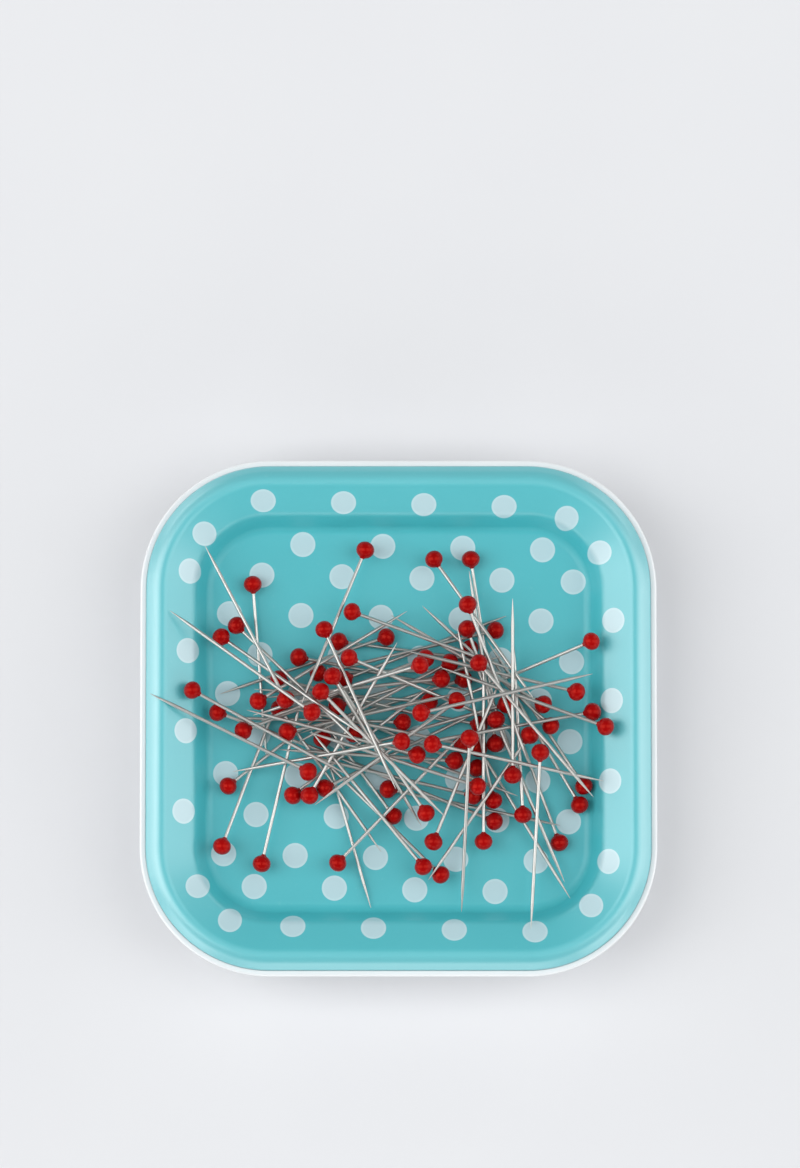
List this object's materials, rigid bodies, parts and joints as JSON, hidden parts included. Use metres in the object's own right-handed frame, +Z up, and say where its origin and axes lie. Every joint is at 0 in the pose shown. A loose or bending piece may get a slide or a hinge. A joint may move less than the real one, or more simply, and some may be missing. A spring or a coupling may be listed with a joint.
{
  "type": "magnetic pin bowl",
  "caption": "Rounded square dish in a lower shell, with disc magnets under its floor and a loose pile of glass-headed dressmaking pins lying in it.",
  "frame": {"origin": "centre of the footprint, on the surface that the feet stand on", "axes": "+Z up, +X to the right and +Y away from the user; the two magnets lie along X"},
  "size_m": [0.088, 0.088, 0.0223],
  "materials": {
    "tray": "glossy moulded turquoise plastic with printed white polka dots",
    "base_shell": "glossy moulded white plastic",
    "magnet": "nickel-plated disc magnet",
    "magnet_pad": "black closed-cell foam",
    "screw": "zinc-plated steel",
    "foot": "soft translucent anti-slip rubber",
    "pin_shaft": "bright nickel-plated steel wire",
    "pin_head": "glossy opaque red glass"
  },
  "bodies": {
    "bowl": {"tray": "tray", "base_shell": "base_shell", "magnet_left": "magnet", "magnet_right": "magnet", "magnet_pads": "magnet_pad", "shell_screws": "screw", "anti_slip_feet": "foot"},
    "pin_layer_1": {"layer_1_pin_shafts": "pin_shaft", "layer_1_pin_heads": "pin_head"},
    "pin_layer_2": {"layer_2_pin_shafts": "pin_shaft", "layer_2_pin_heads": "pin_head"},
    "pin_layer_3": {"layer_3_pin_shafts": "pin_shaft", "layer_3_pin_heads": "pin_head"},
    "pin_layer_4": {"layer_4_pin_shafts": "pin_shaft", "layer_4_pin_heads": "pin_head"},
    "loose_pin_01": {"loose_pin_01_shaft": "pin_shaft", "loose_pin_01_head": "pin_head"},
    "loose_pin_02": {"loose_pin_02_shaft": "pin_shaft", "loose_pin_02_head": "pin_head"},
    "loose_pin_03": {"loose_pin_03_shaft": "pin_shaft", "loose_pin_03_head": "pin_head"},
    "loose_pin_04": {"loose_pin_04_shaft": "pin_shaft", "loose_pin_04_head": "pin_head"},
    "loose_pin_05": {"loose_pin_05_shaft": "pin_shaft", "loose_pin_05_head": "pin_head"},
    "loose_pin_06": {"loose_pin_06_shaft": "pin_shaft", "loose_pin_06_head": "pin_head"},
    "loose_pin_07": {"loose_pin_07_shaft": "pin_shaft", "loose_pin_07_head": "pin_head"},
    "loose_pin_08": {"loose_pin_08_shaft": "pin_shaft", "loose_pin_08_head": "pin_head"},
    "loose_pin_09": {"loose_pin_09_shaft": "pin_shaft", "loose_pin_09_head": "pin_head"},
    "loose_pin_10": {"loose_pin_10_shaft": "pin_shaft", "loose_pin_10_head": "pin_head"},
    "loose_pin_11": {"loose_pin_11_shaft": "pin_shaft", "loose_pin_11_head": "pin_head"},
    "loose_pin_12": {"loose_pin_12_shaft": "pin_shaft", "loose_pin_12_head": "pin_head"}
  },
  "joints": [
    {"name": "pin_layer_1_lift", "type": "slide", "parent": "bowl", "child": "pin_layer_1", "axis": [0, 0, 1], "range_m": [0, 0.03]},
    {"name": "pin_layer_2_lift", "type": "slide", "parent": "pin_layer_1", "child": "pin_layer_2", "axis": [0, 0, 1], "range_m": [0, 0.03]},
    {"name": "pin_layer_3_lift", "type": "slide", "parent": "pin_layer_2", "child": "pin_layer_3", "axis": [0, 0, 1], "range_m": [0, 0.03]},
    {"name": "pin_layer_4_lift", "type": "slide", "parent": "pin_layer_3", "child": "pin_layer_4", "axis": [0, 0, 1], "range_m": [0, 0.03]},
    {"name": "loose_pin_01_lift", "type": "slide", "parent": "pin_layer_4", "child": "loose_pin_01", "axis": [0, 0, 1], "range_m": [0, 0.03]},
    {"name": "loose_pin_02_lift", "type": "slide", "parent": "loose_pin_01", "child": "loose_pin_02", "axis": [0, 0, 1], "range_m": [0, 0.03]},
    {"name": "loose_pin_03_lift", "type": "slide", "parent": "pin_layer_4", "child": "loose_pin_03", "axis": [0, 0, 1], "range_m": [0, 0.03]},
    {"name": "loose_pin_04_lift", "type": "slide", "parent": "loose_pin_03", "child": "loose_pin_04", "axis": [0, 0, 1], "range_m": [0, 0.03]},
    {"name": "loose_pin_05_lift", "type": "slide", "parent": "loose_pin_03", "child": "loose_pin_05", "axis": [0, 0, 1], "range_m": [0, 0.03]},
    {"name": "loose_pin_06_lift", "type": "slide", "parent": "loose_pin_02", "child": "loose_pin_06", "axis": [0, 0, 1], "range_m": [0, 0.03]},
    {"name": "loose_pin_07_lift", "type": "slide", "parent": "pin_layer_4", "child": "loose_pin_07", "axis": [0, 0, 1], "range_m": [0, 0.03]},
    {"name": "loose_pin_08_lift", "type": "slide", "parent": "loose_pin_04", "child": "loose_pin_08", "axis": [0, 0, 1], "range_m": [0, 0.03]},
    {"name": "loose_pin_09_lift", "type": "slide", "parent": "loose_pin_08", "child": "loose_pin_09", "axis": [0, 0, 1], "range_m": [0, 0.03]},
    {"name": "loose_pin_10_lift", "type": "slide", "parent": "loose_pin_06", "child": "loose_pin_10", "axis": [0, 0, 1], "range_m": [0, 0.03]},
    {"name": "loose_pin_11_lift", "type": "slide", "parent": "loose_pin_01", "child": "loose_pin_11", "axis": [0, 0, 1], "range_m": [0, 0.03]},
    {"name": "loose_pin_12_lift", "type": "slide", "parent": "pin_layer_4", "child": "loose_pin_12", "axis": [0, 0, 1], "range_m": [0, 0.03]}
  ]
}
